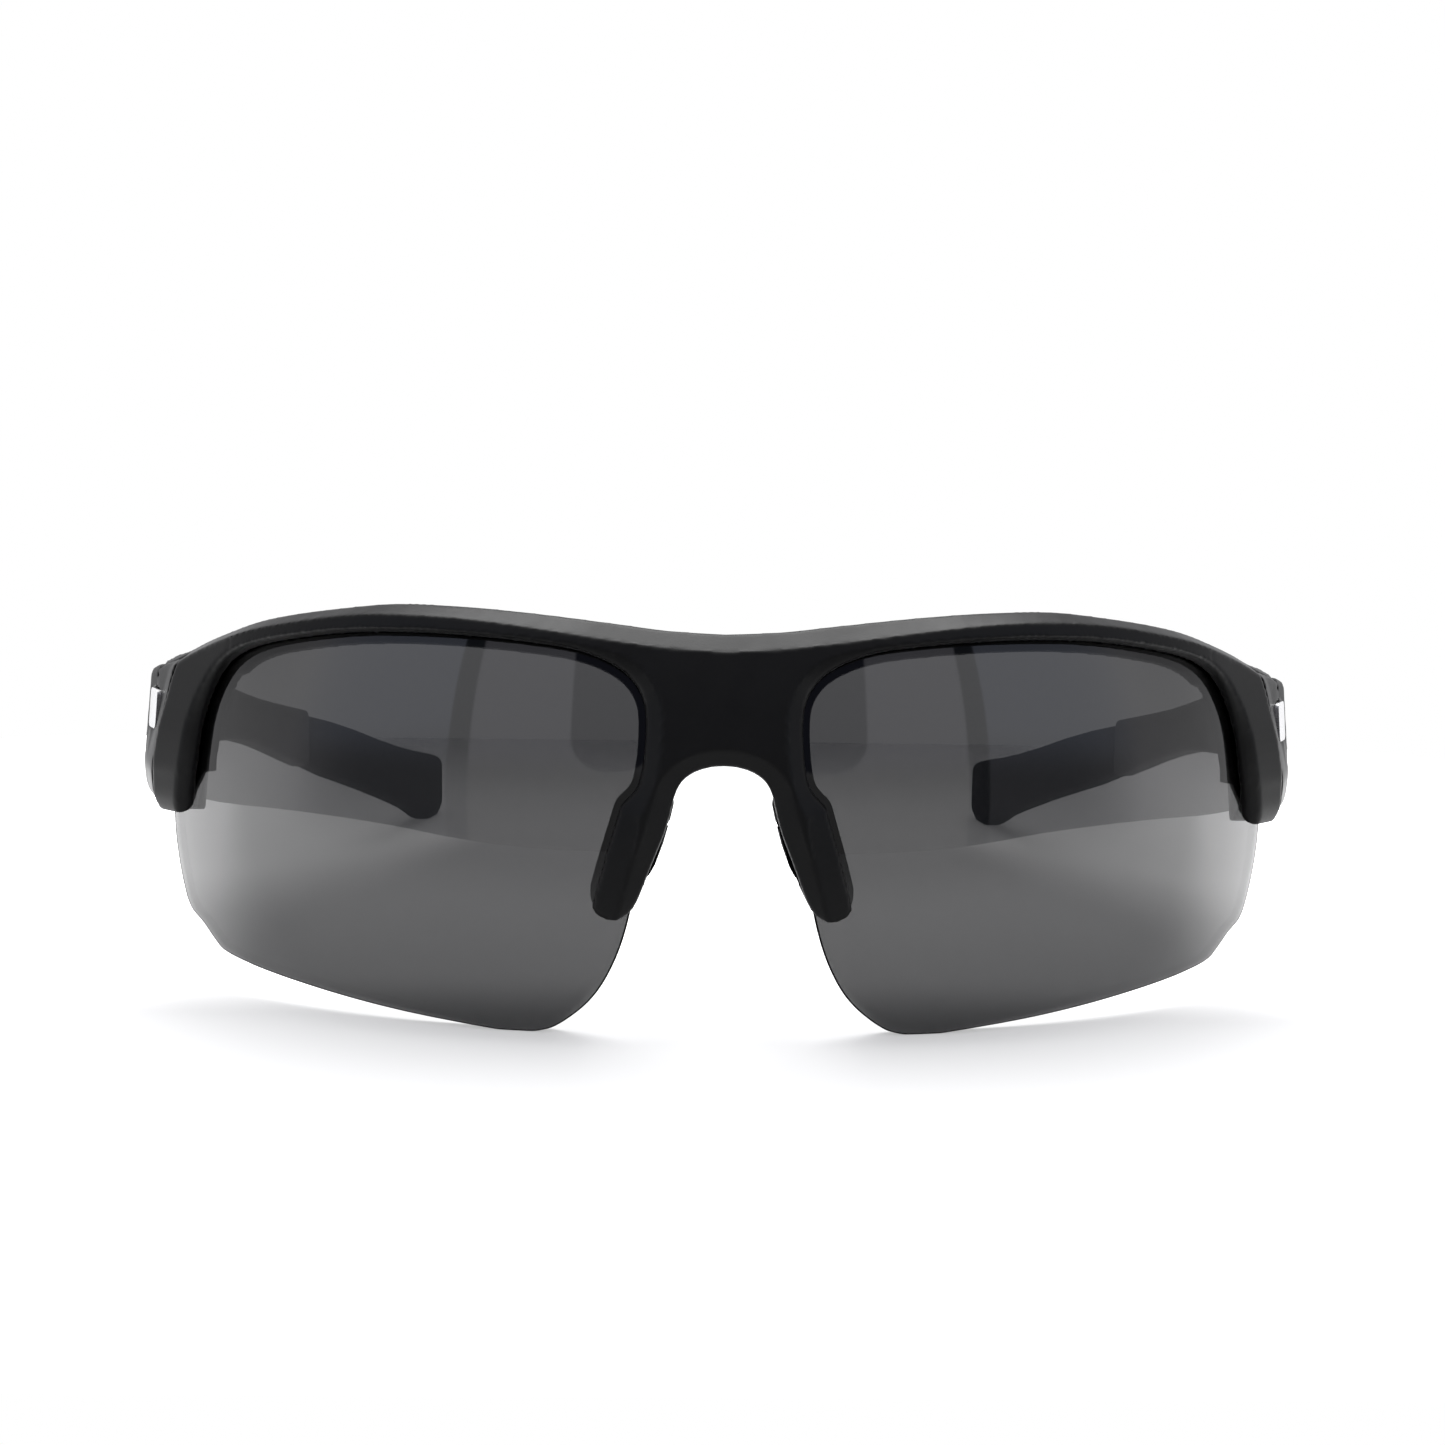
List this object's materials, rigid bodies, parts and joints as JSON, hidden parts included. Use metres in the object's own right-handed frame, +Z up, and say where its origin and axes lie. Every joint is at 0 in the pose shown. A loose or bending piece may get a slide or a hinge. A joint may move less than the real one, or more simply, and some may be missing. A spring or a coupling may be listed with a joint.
{
  "type": "sunglasses",
  "caption": "Wraparound half-frame sport sunglasses with grey tinted lenses, rubber nose pads, folding temples on metal hinges and rubber temple sleeves.",
  "frame": {"origin": "middle of the base of the open glasses' bounding box, on the plane they rest on", "axes": "+X to the wearer's left, +Y back along the temples, +Z up"},
  "size_m": [0.139, 0.148, 0.047],
  "materials": {
    "frame_nylon": "satin moulded black nylon, bright along the sloping top of the brow",
    "temple_nylon": "satin moulded black nylon",
    "lens_polycarbonate": "polished neutral grey tint, clear hard coat",
    "pad_rubber": "soft matt black rubber",
    "sleeve_rubber": "soft matt black rubber",
    "hinge_steel": "stamped steel, lightly brushed",
    "screw_steel": "machined steel",
    "washer_nylon": "natural white nylon",
    "badge_metal": "satin silver, plain and unmarked"
  },
  "bodies": {
    "front": {"front_frame": "frame_nylon", "left_lens": "lens_polycarbonate", "right_lens": "lens_polycarbonate", "left_nose_pad": "pad_rubber", "right_nose_pad": "pad_rubber", "left_front_hinge_leaf": "hinge_steel", "right_front_hinge_leaf": "hinge_steel", "left_front_leaf_screws": "screw_steel", "right_front_leaf_screws": "screw_steel", "left_hinge_screw": "screw_steel", "right_hinge_screw": "screw_steel", "left_hinge_washers": "washer_nylon", "right_hinge_washers": "washer_nylon"},
    "left_arm": {"left_temple": "temple_nylon", "left_temple_hinge_leaf": "hinge_steel", "left_temple_leaf_screws": "screw_steel", "left_temple_sleeve": "sleeve_rubber", "left_temple_badge": "badge_metal"},
    "right_arm": {"right_temple": "temple_nylon", "right_temple_hinge_leaf": "hinge_steel", "right_temple_leaf_screws": "screw_steel", "right_temple_sleeve": "sleeve_rubber", "right_temple_badge": "badge_metal"}
  },
  "joints": [
    {"name": "left_hinge", "type": "hinge", "parent": "front", "child": "left_arm", "pos_m": [0.0644, -0.04171, 0.032], "axis": [0, 0, 1], "range_deg": [0, 82]},
    {"name": "right_hinge", "type": "hinge", "parent": "front", "child": "right_arm", "pos_m": [-0.0644, -0.04171, 0.032], "axis": [0, 0, -1], "range_deg": [0, 74]}
  ]
}
